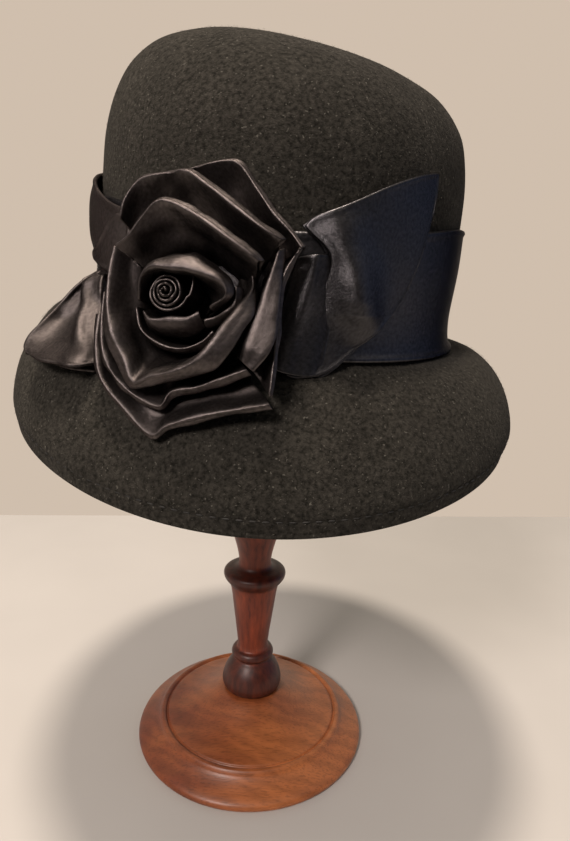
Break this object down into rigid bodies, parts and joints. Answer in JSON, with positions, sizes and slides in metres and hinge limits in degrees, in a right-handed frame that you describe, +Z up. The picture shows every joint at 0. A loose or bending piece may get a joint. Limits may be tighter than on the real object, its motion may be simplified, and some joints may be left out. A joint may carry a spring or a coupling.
{
  "type": "felt cloche hat on a turned wooden hat stand",
  "caption": "Close-fitting felt hat with a small turned-down brim, a satin band, a folded satin wing and leaf and a large ribbon rose, carried on a turned wooden hat stand.",
  "frame": {"origin": "centre of the stand base's flat underside", "axes": "+Z up the column, -Y towards the front of the hat, +X towards the wearer's left, where the satin wing is"},
  "size_m": [0.239, 0.265, 0.3635],
  "materials": {
    "felt": "matt black wool felt with short pale fibres",
    "band_satin": "black satin with a soft broad sheen",
    "rose_satin": "black satin ribbon, creased and folded, with lit edges",
    "base_wood": "varnished orange-brown wood with a swirled grain",
    "column_wood": "varnished red-brown wood with darker rings"
  },
  "bodies": {
    "root": {"stand_base": "base_wood", "stand_column": "column_wood", "stand_cap": "column_wood", "felt_body": "felt", "satin_band": "band_satin", "band_side_fold": "band_satin", "band_pleat": "band_satin", "satin_wing": "band_satin", "wing_pleat": "band_satin", "brim_leaf": "rose_satin", "brim_leaf_lower": "rose_satin", "rose_core": "rose_satin", "rose_bud_upper": "rose_satin", "rose_bud_lower": "rose_satin", "rose_bud_right": "rose_satin", "rose_bud_bowl": "rose_satin", "rose_petal_right_inner": "rose_satin", "rose_petal_upper_inner": "rose_satin", "rose_petal_upper_middle": "rose_satin", "rose_petal_upper_outer": "rose_satin", "rose_petal_right_middle": "rose_satin", "rose_petal_lower_middle": "rose_satin", "rose_petal_right_outer": "rose_satin", "rose_petal_lower_outer": "rose_satin"}
  },
  "joints": []
}
